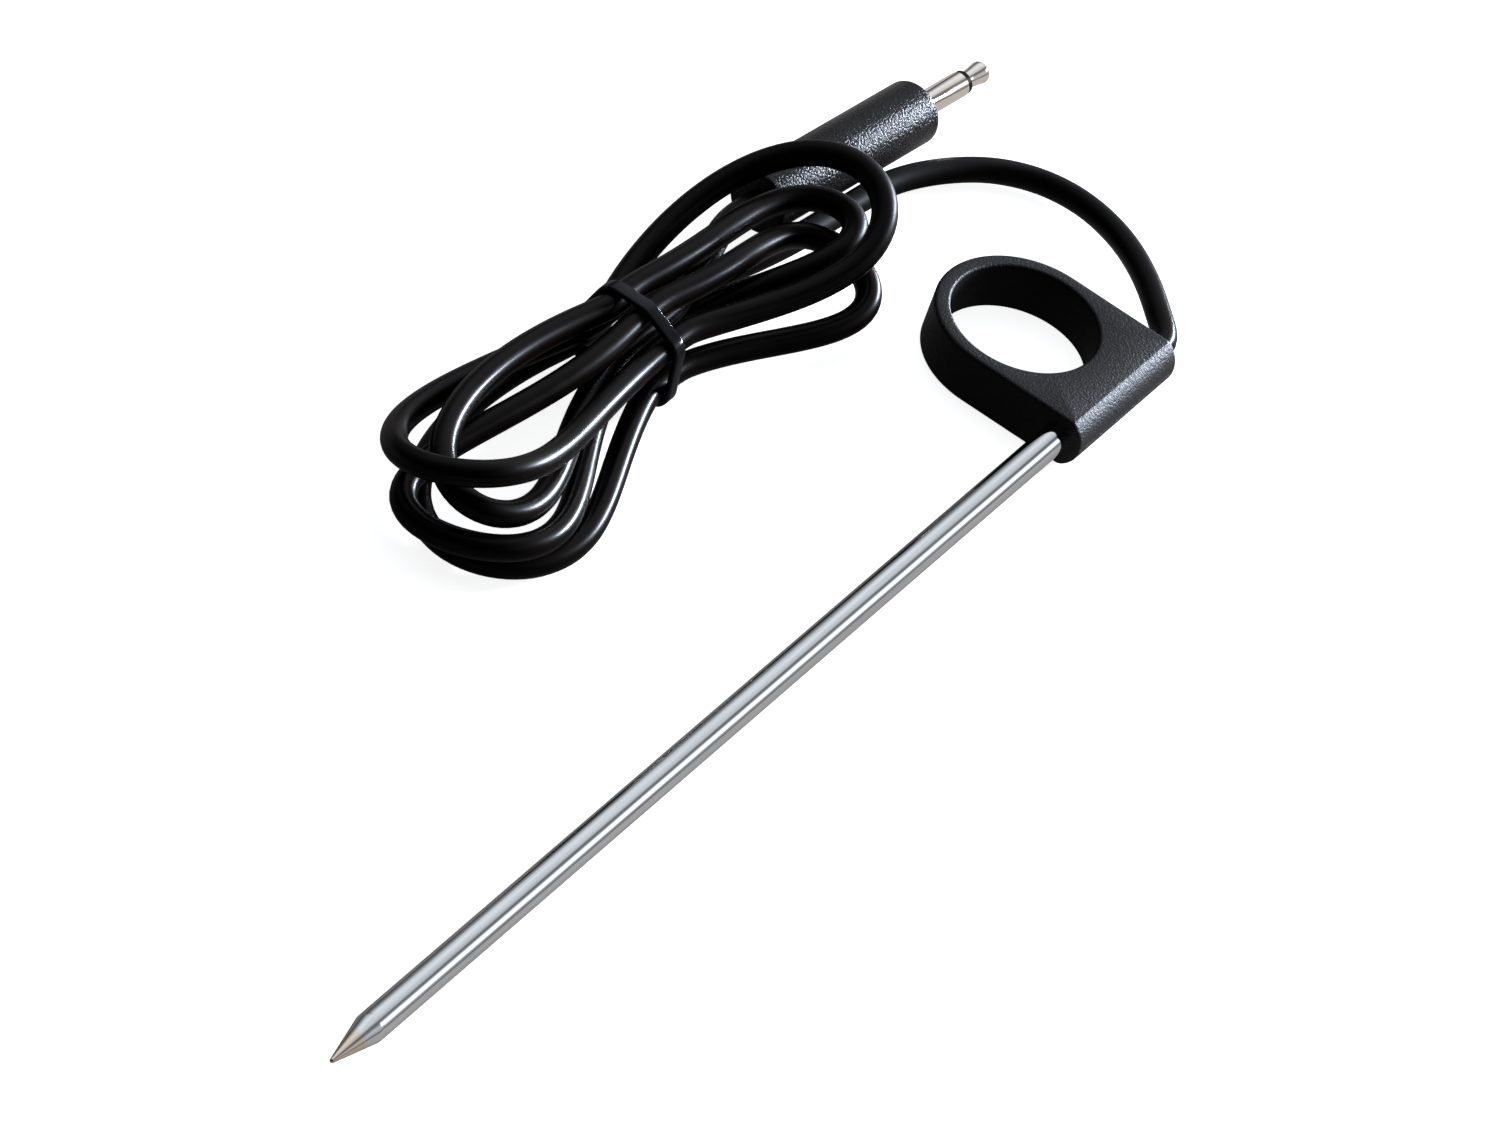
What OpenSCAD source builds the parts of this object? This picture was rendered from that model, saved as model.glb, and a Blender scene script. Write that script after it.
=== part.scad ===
// Meat thermometer probe: a pointed steel rod, a finger-ring handle, a cable tied in a hank and a jack plug

/* [Probe rod] */
// Length from the point to the front face of the handle
probe_len = 163; // [120:1:220]
// Outer diameter of the steel tube
tube_d = 4; // [3.6:0.1:6]
// Wall of the steel tube
tube_wall = 0.25; // [0.2:0.05:0.3]
// Length of the conical point
point_len = 8.4; // [5:0.1:12]
// Diameter of the blunt end of the point
point_end_d = 0.5; // [0.2:0.05:0.8]
// Length of the spigot of the point inside the tube
spigot_len = 4; // [2:0.5:8]
// Length of tube held inside the handle
tube_insert = 12; // [9:0.5:13]
// How much the tube narrows where the handle holds it
neck_step = 0.6; // [0.4:0.1:0.7]

/* [Sensor] */
// Diameter of the glass bead
bead_d = 2.4; // [2.2:0.1:2.6]
// Length of the glass bead
bead_len = 3; // [2:0.1:5]
// Diameter of each bead wire
lead_wire_d = 0.3; // [0.2:0.05:0.4]
// Distance between the two wire axes
wire_pitch = 1.6; // [1.5:0.05:1.65]
// Length of heat paste behind the point
paste_len = 8; // [6:0.5:14]
// Length of each insulating sleeve on a bead wire
sleeve_len = 16; // [8:1:24]
// Length of each crimp
crimp_len = 6; // [4:0.5:10]
// Diameter of each insulated core
core_d = 0.9; // [0.7:0.05:1]

/* [Handle] */
// Outer diameter of the finger ring, and width of the handle along the rod
ring_d = 24.4; // [23:0.1:30]
// Diameter of the finger hole
finger_d = 20; // [16:0.5:20.5]
// Distance from the rod axis to the middle of the finger hole
ring_offset = 13.7; // [13.5:0.1:18]
// Thickness of the handle
handle_t = 7.4; // [7.2:0.1:10]
// Radius of the rounded long side of the handle
side_r = 4.2; // [4.1:0.1:6]
// Diameter of the locating pins between the two shells
pin_d = 1.6; // [1.2:0.1:1.8]
// Height of the locating pins
pin_h = 1.8; // [1:0.1:2.4]

/* [Cable] */
// Outer diameter of the cable
cord_d = 3.5; // [3.2:0.1:3.6]
// Width of the band round the hank
band_w = 2.2; // [1:0.1:2.6]
// Thickness of the band
band_t = 0.8; // [0.4:0.1:0.9]

/* [Plug] */
// Outer diameter of the plug body
plug_d = 9; // [8.6:0.1:9.4]
// Length of the plug body
plug_len = 33.5; // [32:0.5:44]
// Radius of the rounded front edge of the plug body
plug_round = 1; // [0.4:0.1:1.4]
// Diameter of the jack
jack_d = 3.5; // [3.3:0.1:3.7]
// Length of the jack in front of the body
jack_len = 14.5; // [13:0.5:17]
// Length of the jack's tip contact
tip_contact_len = 4.1; // [3.2:0.1:4.6]
// Width of the insulating ring between tip and shank
insulator_w = 0.7; // [0.5:0.1:1.2]

/* [Fits] */
// Clearance round pieces that slide into each other
fit = 0.05; // [0.02:0.01:0.06]
// Clearance between the handle shells and what they clamp
clamp_fit = 0.1; // [0.05:0.01:0.12]

/* [Hidden] */
$fn = 64;

// The probe lies flat, centred over the origin, with its point towards -X
x_front = (probe_len - ring_d) / 2;
x_point = x_front - probe_len;
y_rod = (handle_t - ring_offset - ring_d / 2 - handle_t / 2) / 2;
z_rod = handle_t / 2;
ring_x = x_front + ring_d / 2;
ring_y = y_rod + ring_offset;
side_y = y_rod - handle_t / 2 + side_r;

// Inside the tube, measured from the point
tube_id = tube_d - 2 * tube_wall;
paste_end = point_len + spigot_len + paste_len;
bead_start = point_len + spigot_len + 2;
bead_end = bead_start + bead_len;
sleeve_start = paste_end + fit;
sleeve_end = sleeve_start + sleeve_len;
crimp_start = sleeve_end + 1;
crimp_end = crimp_start + crimp_len;
shrink_over = 1.5;
shrink_wall = 0.12;
crimp_d = wire_pitch - 2 * shrink_wall - 4 * fit;
wire_sleeve_d = lead_wire_d + 2 * fit + 0.4;
strand_d = core_d / 2;
crimp_bite = crimp_len / 2 - 0.5;

// Inside the handle, measured from its front face
neck_d = tube_d - neck_step;
neck_id = neck_d - 2 * tube_wall;
collar_at = 1;
collar_w = 2;
collar_d = tube_d + 2;
seal_len = 2;
cable_start = tube_insert + 4;
jacket_crimp_at = cable_start + 1.5;
jacket_crimp_w = 3;
jacket_crimp_d = cord_d + 1.6;
core_bite = 4;
core_room_d = cord_d + 1.5;
shell_pin_x = 3;
shell_pin_y = 5.4;

// The plug lies on the table beside the hank
plug_rear = [74.6, 40.4, plug_d / 2];
plug_turn = -6.5;
inner_shell_d = plug_d - 2.2;
inner_shell_wall = 0.6;
inner_shell_at = 8;
flange_w = 1.4;
flange_d = inner_shell_d - 2 * inner_shell_wall - 2 * fit;
shank_end = plug_len + jack_len - tip_contact_len - insulator_w;
shank_rear = plug_len - 9;
insulator_step = 0.3;
liner_d = jack_d - 1.3;
tip_pin_d = liner_d - 1;
tip_neck_d = jack_d - 1.1;
tip_end_d = jack_d - 0.4;
tip_edge = 0.3;
tag_w = 1;
rear_washer_w = 1.2;
tip_tag_at = shank_rear - rear_washer_w - tag_w;
shank_tag_w = 0.5;
shank_tag_at = shank_rear + 1;
tag_reach = 3;
solder_len = 0.8;
plug_core_end = tip_tag_at - solder_len;
plug_core_start = inner_shell_at - core_bite;
shank_tag_room = 0.3;

// Waist of the hank: eight runs of cable through the band, as height rows and places across
waist = [38, 35];
waist_half = 3.5;
band_mid = waist[0] - 1.6;
rows = [2.7, 6.75, 10.8];
far_top = [4, rows[2]];
mid_top = [0, rows[2]];
near_top = [-4.4, 8.7];
far_mid = [5.5, rows[1]];
centre = [0, rows[1]];
far_low = [7, rows[0]];
mid_low = [0, rows[0]];
near_low = [-5, rows[0]];

// Loops of the hank in winding order: first run, last run, side (-1 left, 1 right), reach, half width,
// sideways shift of the end, height of the end, tilt, skew, sideways fan of the first and of the last run
loops = [
    [far_mid, near_top, -1, 47.75, 5, -4, 16.25, -6, 1.75, 10.75, -1.75],
    [near_top, far_low, 1, 35.5, -3, -7.25, 17.25, 0, -2.5, -12, 12],
    [far_low, near_low, -1, 42.5, 3.5, -7.5, 2, 0.75, 4, 9.5, -11.25],
    [near_low, mid_top, 1, 31.25, -6.5, -7, 7, -2.25, -1.25, -7.25, -8.25],
    [mid_top, mid_low, -1, 47.5, 7.5, 0.5, 6.75, -0.75, 2, -5.75, -12],
    [mid_low, far_top, 1, 34.25, -7.25, -5.75, 11, 3, -2.5, 2.75, -6.25],
    [far_top, centre, -1, 43.75, 1.75, -9, 10.75, 4.25, 4, 11.75, -4.5]
];
rings_per_loop = 24;
hank_sides = 6;
cord_sides = 8;

// Where the hank ends and the free stretches begin, each with a short square end
hank_end_x = waist[0] + waist_half + cord_d;
square_end = 1.2;
handle_end_x = x_front + ring_d;

// Route of the free cable from the hank to the handle
lead_route = [
    [hank_end_x, waist[1] + far_mid[0], far_mid[1]],
    [hank_end_x + square_end, waist[1] + far_mid[0], far_mid[1]],
    [50.9, 39.8, 4.4], [56.6, 38.5, 2], [62.6, 36.8, 1.8], [68.5, 35.4, 1.8], [75.4, 34.2, 1.8],
    [82.5, 33.4, 1.8], [89.6, 32.7, 1.8], [95.2, 32, 1.8], [100.2, 30.3, 1.8], [105.3, 27.5, 1.8],
    [109.9, 23.6, 1.8], [113, 18.5, 1.8], [113.9, 13, 1.9], [112.8, 7.7, 2.2], [110.2, 2.4, 2.6],
    [106.2, -2.8, 3], [101.4, -7.5, 3.4], [handle_end_x + cord_d, y_rod, z_rod], [handle_end_x, y_rod, z_rod]
];

// Route of the free cable from the hank to the plug
tail_route = [
    [hank_end_x, waist[1] + centre[0], centre[1]],
    [hank_end_x + square_end, waist[1] + centre[0], centre[1]],
    [50.4, 36, 7.1], [56.2, 37.3, 6.1], [62.2, 39.2, 5.5], [67, 40.5, 4.9],
    plug_rear - cord_d * [cos(plug_turn), sin(plug_turn), 0], plug_rear
];

// Point at angle a of one loop, from 0 to 180
function loop_point(l, a) =
    let (
        near = (1 - cos(a)) / 2,
        out = sin(a) * sin(a),
        swell = 1.3 * sin(2 * a) * sin(a),
        run = l[0] + (l[1] - l[0]) * near,
        fan = l[9] * (1 - near) ^ 2 + l[10] * near ^ 2
    )
    [
        waist[0] + l[2] * (waist_half + l[3] * sin(a) + l[8] * swell),
        waist[1] + (1 - out) * run[0] + out * l[5] + l[4] * swell + fan * sin(a),
        (1 - out) * run[1] + out * (l[6] + l[7] * cos(a))
    ];

function hank_route(rings) = [
    lead_route[0],
    for (l = loops, i = [0 : rings - 1]) loop_point(l, 180 * i / (rings - 1)),
    tail_route[0]
];

// Rings of a round tube along a route, square to the way it runs
function unit(v) = v / norm(v);
function heading(route, i) =
    let (last = len(route) - 1)
    i == 0 ? unit(route[1] - route[0]) :
    i == last ? unit(route[last] - route[last - 1]) :
    unit(unit(route[i] - route[i - 1]) + unit(route[i + 1] - route[i]));
function ring_at(route, i, r, sides) =
    let (
        along = heading(route, i),
        side = unit(cross([0, 0, 1], along)),
        up = cross(along, side)
    )
    [for (k = [0 : sides - 1]) route[i] + r * (cos(360 * k / sides) * side + sin(360 * k / sides) * up)];

module tube_along(route, d, sides) {
    last = len(route) - 1;
    points = [for (i = [0 : last]) each ring_at(route, i, d / 2, sides)];
    walls = [
        for (i = [0 : last - 1], k = [0 : sides - 1])
            let (m = (k + 1) % sides, a = i * sides, b = a + sides)
            each [[a + k, b + k, b + m], [a + k, b + m, a + m]]
    ];
    ends = [
        for (k = [1 : sides - 2])
            let (z = last * sides)
            each [[0, k, k + 1], [z, z + k + 1, z + k]]
    ];
    polyhedron(points = points, faces = concat(walls, ends));
}

// Least gap of the hank to itself, on points twice as close as its rings
function least_gap() =
    let (p = hank_route(2 * rings_per_loop - 1), n = len(p), apart = 9)
    min([for (i = [0 : n - 1 - apart], j = [i + apart : n - 1]) norm(p[i] - p[j])]) - cord_d;

// Frames of the rod and of the plug, with local Z along the axis
module on_rod(s) {
    translate([x_point + s, y_rod, z_rod]) rotate([0, 90, 0]) children();
}

module on_handle(s) {
    on_rod(probe_len + s) children();
}

module on_plug(s) {
    translate(plug_rear) rotate([0, 0, plug_turn]) rotate([0, 90, 0]) translate([0, 0, s]) children();
}

module both_wires() {
    for (side = [-1, 1]) translate([0, side * wire_pitch / 2, 0]) children();
}

module pipe(outer, inner, h) {
    difference() {
        cylinder(d = outer, h = h);
        translate([0, 0, -1]) cylinder(d = inner, h = h + 2);
    }
}

// The tube is drawn down to a narrower neck, and its shoulder butts on the front face of the handle
module probe_tube() {
    straight = probe_len - point_len;
    whole = probe_len - point_len + tube_insert;
    color("silver") on_rod(point_len) difference() {
        union() {
            cylinder(d = tube_d, h = straight);
            cylinder(d = neck_d, h = whole);
        }
        translate([0, 0, -1]) cylinder(d = tube_id, h = straight + 1 - tube_wall);
        translate([0, 0, -1]) cylinder(d = neck_id, h = whole + 2);
    }
}

module probe_point() {
    shoulder = point_len / 10;
    slope = (tube_d - point_end_d) / 2 / (point_len - shoulder / 2);
    color("silver") on_rod(0) rotate_extrude() polygon([
        [0, 0],
        [point_end_d / 2, 0],
        [point_end_d / 2 + slope * (point_len - 2 * shoulder), point_len - 2 * shoulder],
        [tube_d / 2 - slope * shoulder / 6, point_len - shoulder / 2],
        [tube_d / 2, point_len],
        [tube_id / 2 - fit, point_len],
        [tube_id / 2 - fit, point_len + spigot_len],
        [0, point_len + spigot_len]
    ]);
}

module heat_paste() {
    color("white") on_rod(point_len + spigot_len) difference() {
        cylinder(d = tube_id - 2 * fit, h = paste_len);
        translate([0, 0, bead_start - point_len - spigot_len - fit])
            cylinder(d = bead_d + 2 * fit, h = bead_len + 2 * fit);
        both_wires() translate([0, 0, bead_end - point_len - spigot_len])
            cylinder(d = lead_wire_d + 2 * fit, h = paste_len);
    }
}

module thermistor_bead() {
    color("seagreen") on_rod(bead_start) cylinder(d = bead_d, h = bead_len);
}

module bead_wires() {
    color("silver") on_rod(bead_end) both_wires()
        cylinder(d = lead_wire_d, h = crimp_start + crimp_bite - bead_end);
}

module wire_sleeves() {
    color("ivory") on_rod(sleeve_start) both_wires()
        pipe(wire_sleeve_d, lead_wire_d + 2 * fit, sleeve_len);
}

module splice_crimps() {
    color("goldenrod") on_rod(crimp_start) both_wires() difference() {
        cylinder(d = crimp_d, h = crimp_len);
        translate([0, 0, -1]) cylinder(d = lead_wire_d + 2 * fit, h = crimp_bite + 1);
        translate([0, 0, crimp_len - crimp_bite]) cylinder(d = strand_d + 2 * fit, h = crimp_bite + 1);
    }
}

module splice_sleeves() {
    color("dimgray") on_rod(crimp_start - shrink_over / 3) both_wires()
        pipe(crimp_d + 2 * fit + 2 * shrink_wall, crimp_d + 2 * fit, crimp_len + 2 * shrink_over / 3);
}

module probe_cores() {
    core_start = crimp_end + shrink_over / 2;
    core_end = probe_len + cable_start + core_bite;
    color("firebrick") on_rod(0) both_wires() {
        translate([0, 0, crimp_end - crimp_bite])
            cylinder(d = strand_d, h = core_start - crimp_end + crimp_bite);
        translate([0, 0, core_start]) cylinder(d = core_d, h = core_end - core_start);
    }
}

module tube_seal() {
    color("whitesmoke") on_handle(tube_insert - seal_len) difference() {
        cylinder(d = neck_id - 2 * fit, h = seal_len);
        both_wires() translate([0, 0, -1]) cylinder(d = core_d + 2 * fit, h = seal_len + 2);
    }
}

module tube_collar() {
    color("gray") on_handle(collar_at + fit)
        pipe(collar_d, neck_d + 2 * fit, collar_w - 2 * fit);
}

module cable_crimp() {
    color("gray") on_handle(jacket_crimp_at)
        pipe(jacket_crimp_d, cord_d + 2 * fit, jacket_crimp_w);
}

module handle_cable_end() {
    color("black") on_handle(cable_start) difference() {
        cylinder(d = cord_d, h = ring_d - cable_start);
        both_wires() translate([0, 0, -1]) cylinder(d = core_d + 2 * fit, h = core_bite + 1 + fit);
    }
}

// Outline of the handle seen from above, and the channel for the rod, the collar and the cable
module handle_form() {
    linear_extrude(handle_t) {
        translate([ring_x, ring_y]) circle(d = ring_d);
        translate([x_front, side_y]) square([ring_d, ring_y - side_y]);
    }
    translate([0, side_y - y_rod, 0]) on_handle(0) cylinder(r = side_r, h = ring_d);
}

module handle_channel() {
    on_handle(-1) cylinder(d = neck_d + 2 * fit, h = tube_insert + 1);
    on_handle(collar_at) cylinder(d = collar_d + 2 * clamp_fit, h = collar_w);
    on_handle(tube_insert - fit) cylinder(d = core_room_d, h = jacket_crimp_at - tube_insert);
    on_handle(jacket_crimp_at - fit)
        cylinder(d = jacket_crimp_d + 2 * clamp_fit, h = jacket_crimp_w + 2 * fit);
    on_handle(jacket_crimp_at) cylinder(d = cord_d + 2 * clamp_fit, h = ring_d);
}

module handle_shell(from, to) {
    difference() {
        intersection() {
            handle_form();
            translate([x_front - 1, y_rod - ring_d, from])
                cube([ring_d + 2, 3 * ring_d, to - from]);
        }
        translate([ring_x, ring_y, -1]) cylinder(d = finger_d, h = handle_t + 2);
        handle_channel();
    }
}

module shell_pins(d, h) {
    for (x = [shell_pin_x, ring_d - shell_pin_x])
        translate([x_front + x, y_rod + shell_pin_y, z_rod]) cylinder(d = d, h = h);
}

module handle_lower() {
    color("#1c1c20") union() {
        handle_shell(0, z_rod);
        shell_pins(pin_d, pin_h);
    }
}

module handle_upper() {
    color("#26262b") difference() {
        handle_shell(z_rod, handle_t);
        shell_pins(pin_d + 2 * fit, pin_h + 2 * fit);
    }
}

module cable_lead() {
    color("#101012") tube_along(lead_route, cord_d, cord_sides);
}

module cable_hank() {
    echo(least_gap_of_hank = least_gap());
    color("#101012") tube_along(hank_route(rings_per_loop), cord_d, hank_sides);
}

module cable_tail() {
    color("#101012") tube_along(tail_route, cord_d, cord_sides);
}

// The band is one flat ring that fits round the eight runs
module waist_outline(grow) {
    hull() for (run = [far_top, near_top, far_mid, far_low, near_low])
        translate(run) circle(d = cord_d + 2 * grow, $fn = 32);
}

module hank_band() {
    color("#0c0c0e") translate([band_mid - band_w / 2, waist[1], 0]) rotate([90, 0, 90])
        linear_extrude(band_w) difference() {
            waist_outline(fit + band_t);
            waist_outline(fit);
        }
}

module plug_body() {
    color("#202024") on_plug(0) difference() {
        union() {
            cylinder(d = plug_d, h = plug_len - plug_round);
            cylinder(d = plug_d - 2 * plug_round, h = plug_len);
            translate([0, 0, plug_len - plug_round]) rotate_extrude()
                translate([plug_d / 2 - plug_round, 0]) circle(r = plug_round, $fn = 32);
        }
        translate([0, 0, -1]) cylinder(d = cord_d + 2 * fit, h = inner_shell_at + 2);
        translate([0, 0, inner_shell_at]) cylinder(d = inner_shell_d + 2 * fit, h = plug_len);
    }
}

module plug_inner_shell() {
    color("ivory") on_plug(inner_shell_at) difference() {
        cylinder(d = inner_shell_d, h = plug_len - inner_shell_at);
        translate([0, 0, inner_shell_wall])
            cylinder(d = inner_shell_d - 2 * inner_shell_wall, h = plug_len);
        translate([0, 0, -1]) cylinder(d = cord_d + 2 * fit, h = inner_shell_wall + 2);
    }
}

module plug_cable_end() {
    color("black") on_plug(0) difference() {
        cylinder(d = cord_d, h = inner_shell_at + 1);
        both_wires() translate([0, 0, plug_core_start - fit]) cylinder(d = core_d + 2 * fit, h = plug_len);
    }
}

module jack_shank() {
    color("gainsboro") on_plug(0) difference() {
        union() {
            translate([0, 0, shank_rear]) cylinder(d = jack_d, h = shank_end - shank_rear);
            translate([0, 0, plug_len - flange_w]) cylinder(d = flange_d, h = flange_w);
        }
        translate([0, 0, shank_rear - 1]) cylinder(d = liner_d, h = shank_end - shank_rear + 2);
    }
}

module jack_insulator() {
    color("#151515") on_plug(shank_rear) difference() {
        union() {
            cylinder(d = liner_d - 2 * fit, h = shank_end - shank_rear + insulator_w);
            translate([0, 0, shank_end - shank_rear])
                cylinder(d = jack_d - 2 * insulator_step, h = insulator_w);
        }
        translate([0, 0, -1]) cylinder(d = tip_pin_d + 2 * fit, h = plug_len);
    }
}

// The tip is a narrow neck that flares out to a blunt end
module jack_tip() {
    tip_at = shank_end + insulator_w;
    color("gainsboro") on_plug(0) rotate_extrude() polygon([
        [0, tip_tag_at],
        [tip_pin_d / 2, tip_tag_at],
        [tip_pin_d / 2, tip_at],
        [tip_neck_d / 2, tip_at],
        [tip_neck_d / 2, tip_at + tip_contact_len * 0.25],
        [tip_end_d / 2, tip_at + tip_contact_len * 0.85],
        [tip_end_d / 2 - tip_edge, tip_at + tip_contact_len],
        [0, tip_at + tip_contact_len]
    ]);
}

module rear_insulator() {
    color("saddlebrown") on_plug(shank_rear - rear_washer_w)
        pipe(jack_d + 0.4, tip_pin_d + 2 * fit, rear_washer_w);
}

module tip_tag() {
    color("goldenrod") on_plug(tip_tag_at) pipe(wire_pitch + core_d, tip_pin_d + 2 * fit, tag_w);
}

// A ring behind the flange with a strip that reaches back to its core
module shank_tag() {
    strip_at = (jack_d + shank_tag_room) / 2 + shank_tag_room;
    color("goldenrod") on_plug(shank_tag_at) {
        pipe(flange_d - 2 * fit, jack_d + 2 * fit, shank_tag_w);
        translate([strip_at, -tag_w / 2, -tag_reach]) cube([shank_tag_w, tag_w, tag_reach + shank_tag_w / 2]);
    }
}

module plug_cores() {
    color("firebrick") on_plug(plug_core_start) both_wires()
        cylinder(d = core_d, h = plug_core_end - plug_core_start);
}

module solder_joints() {
    color("lightgray") on_plug(plug_core_end) both_wires() cylinder(d = core_d, h = solder_len);
}

probe_tube();
probe_point();
heat_paste();
thermistor_bead();
bead_wires();
wire_sleeves();
splice_crimps();
splice_sleeves();
probe_cores();
tube_seal();
tube_collar();
handle_lower();
handle_upper();
cable_crimp();
handle_cable_end();
cable_lead();
cable_hank();
hank_band();
cable_tail();
plug_body();
plug_inner_shell();
plug_cable_end();
jack_shank();
jack_insulator();
jack_tip();
rear_insulator();
tip_tag();
shank_tag();
plug_cores();
solder_joints();
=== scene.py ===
import math

import bpy
import bmesh
from mathutils import Matrix, Vector


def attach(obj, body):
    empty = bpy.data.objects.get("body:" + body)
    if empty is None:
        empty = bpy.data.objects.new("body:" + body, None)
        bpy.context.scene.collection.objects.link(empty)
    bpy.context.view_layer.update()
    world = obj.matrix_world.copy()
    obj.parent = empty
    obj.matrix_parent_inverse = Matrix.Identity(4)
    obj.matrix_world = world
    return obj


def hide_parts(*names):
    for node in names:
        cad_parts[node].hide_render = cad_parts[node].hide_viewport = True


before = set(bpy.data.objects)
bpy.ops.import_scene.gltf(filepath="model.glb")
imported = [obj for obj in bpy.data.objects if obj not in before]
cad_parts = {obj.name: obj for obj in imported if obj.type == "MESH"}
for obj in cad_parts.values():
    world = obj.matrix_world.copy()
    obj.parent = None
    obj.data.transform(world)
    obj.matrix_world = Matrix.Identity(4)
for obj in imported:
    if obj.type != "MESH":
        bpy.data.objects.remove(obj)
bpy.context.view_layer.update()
mm = 0.001

print("stage: camera")

# the photograph is 1500 x 1125; the camera is rolled, the probe lies flat
photoCamera = {
    "place": (-848.17, -317.89, 798.17),
    "right": (0.5377, -0.8012, 0.2625),
    "up": (0.4535, 0.5373, 0.7111),
    "focalPixels": 9784.4,
    "imageWidth": 1500,
    "sensorWidth": 36.0,
    "clip": (0.01, 50),
}


def makeCamera(c):
    data = bpy.data.cameras.new("photoCamera")
    data.sensor_fit = "HORIZONTAL"
    data.sensor_width = c["sensorWidth"]
    data.lens = c["sensorWidth"] * c["focalPixels"] / c["imageWidth"]
    data.clip_start, data.clip_end = c["clip"]
    cam = bpy.data.objects.new("photoCamera", data)
    bpy.context.scene.collection.objects.link(cam)
    right = Vector(c["right"]).normalized()
    back = right.cross(Vector(c["up"])).normalized()
    up = back.cross(right)
    turn = Matrix((right, up, back)).transposed().to_4x4()
    cam.matrix_world = Matrix.Translation(Vector(c["place"]) * mm) @ turn
    bpy.context.scene.camera = cam


makeCamera(photoCamera)
bpy.context.scene.view_settings.view_transform = "Standard"

print("stage: materials")

# where the two ends of a tone sit on the noise
toneStops = (0.3, 0.7)
grainStops = (0.35, 0.65)


def newMaterial(name):
    mat = bpy.data.materials.new(name)
    mat.use_nodes = True
    tree = mat.node_tree
    return mat, tree.nodes, tree.links, tree.nodes["Principled BSDF"]


def addNode(nodes, kind, inputs=None, **settings):
    n = nodes.new(kind)
    for key, value in settings.items():
        setattr(n, key, value)
    for key, value in (inputs or {}).items():
        n.inputs[key].default_value = value
    return n


def grainNoise(nodes, links, scale, detail=2.0, stretch=(1, 1, 1)):
    place = addNode(nodes, "ShaderNodeTexCoord")
    mapping = addNode(nodes, "ShaderNodeMapping", {"Scale": stretch})
    noise = addNode(nodes, "ShaderNodeTexNoise", {"Scale": scale, "Detail": detail})
    links.new(place.outputs["Object"], mapping.inputs["Vector"])
    links.new(mapping.outputs["Vector"], noise.inputs["Vector"])
    return noise


def ramp(nodes, links, source, stops):
    r = addNode(nodes, "ShaderNodeValToRGB")
    while len(r.color_ramp.elements) < len(stops):
        r.color_ramp.elements.new(0.5)
    for e, (at, colour) in zip(r.color_ramp.elements, stops):
        e.position = at
        e.color = (*colour, 1)
    links.new(source, r.inputs["Fac"])
    return r


def grey(v):
    return (v, v, v)


def bumpFrom(nodes, links, bsdf, source, strength, height):
    b = addNode(nodes, "ShaderNodeBump", {"Strength": strength, "Distance": height})
    links.new(source, b.inputs["Height"])
    links.new(b.outputs["Normal"], bsdf.inputs["Normal"])


def objectAxes(nodes, links):
    place = addNode(nodes, "ShaderNodeTexCoord")
    split = addNode(nodes, "ShaderNodeSeparateXYZ")
    links.new(place.outputs["Object"], split.inputs["Vector"])
    return split.outputs


def combine(nodes, links, how, one, other):
    n = addNode(nodes, "ShaderNodeMath", operation=how)
    links.new(one, n.inputs[0])
    links.new(other, n.inputs[1])
    return n.outputs[0]


# base colour that runs from dark to pale with the noise
def setTone(nodes, links, bsdf, look, source):
    tone = ramp(nodes, links, source, list(zip(toneStops, (look["dark"], look["pale"]))))
    links.new(tone.outputs["Color"], bsdf.inputs["Base Color"])
    return tone.outputs["Color"]


# roughness that runs from low to high with the noise
def setRoughness(nodes, links, bsdf, look, source, stops):
    rough = ramp(nodes, links, source, list(zip(stops, (grey(look["roughLow"]), grey(look["roughHigh"])))))
    links.new(rough.outputs["Color"], bsdf.inputs["Roughness"])
    return rough.outputs["Color"]


# moulded plastic with a spark-eroded grain, used on the handle and the plug
def mouldedPlastic(name, look):
    mat, nodes, links, bsdf = newMaterial(name)
    grain = grainNoise(nodes, links, look["grainScale"], 3)
    cloud = grainNoise(nodes, links, look["cloudScale"], 4)
    setTone(nodes, links, bsdf, look, cloud.outputs["Fac"])
    setRoughness(nodes, links, bsdf, look, grain.outputs["Fac"], grainStops)
    bumpFrom(nodes, links, bsdf, grain.outputs["Fac"], look["grainStrength"], look["grainHeight"])
    bsdf.inputs["Specular IOR Level"].default_value = look["specular"]
    return mat


# smooth vinyl, clouded, with a faint waviness
def jacketVinyl(name, look):
    mat, nodes, links, bsdf = newMaterial(name)
    cloud = grainNoise(nodes, links, look["cloudScale"], 3)
    fine = grainNoise(nodes, links, look["fineScale"], 2)
    setTone(nodes, links, bsdf, look, cloud.outputs["Fac"])
    matt = setRoughness(nodes, links, bsdf, look, cloud.outputs["Fac"], toneStops)
    if "dull" in look:
        # the free stretch beside the handle shows no bright line, so it is duller
        axes = objectAxes(nodes, links)
        reaches = []
        for axis in "XY":
            reach = addNode(nodes, "ShaderNodeMapRange",
                            {"From Min": look["dullFrom" + axis], "From Max": look["dullTo" + axis]})
            links.new(axes[axis], reach.inputs["Value"])
            reaches.append(reach.outputs["Result"])
        more = addNode(nodes, "ShaderNodeMath", {1: look["dull"]}, operation="MULTIPLY_ADD")
        links.new(combine(nodes, links, "MULTIPLY", *reaches), more.inputs[0])
        links.new(matt, more.inputs[2])
        links.new(more.outputs[0], bsdf.inputs["Roughness"])
    bumpFrom(nodes, links, bsdf, fine.outputs["Fac"], look["fineStrength"], look["fineHeight"])
    bsdf.inputs["Specular IOR Level"].default_value = look["specular"]
    return mat


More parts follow.
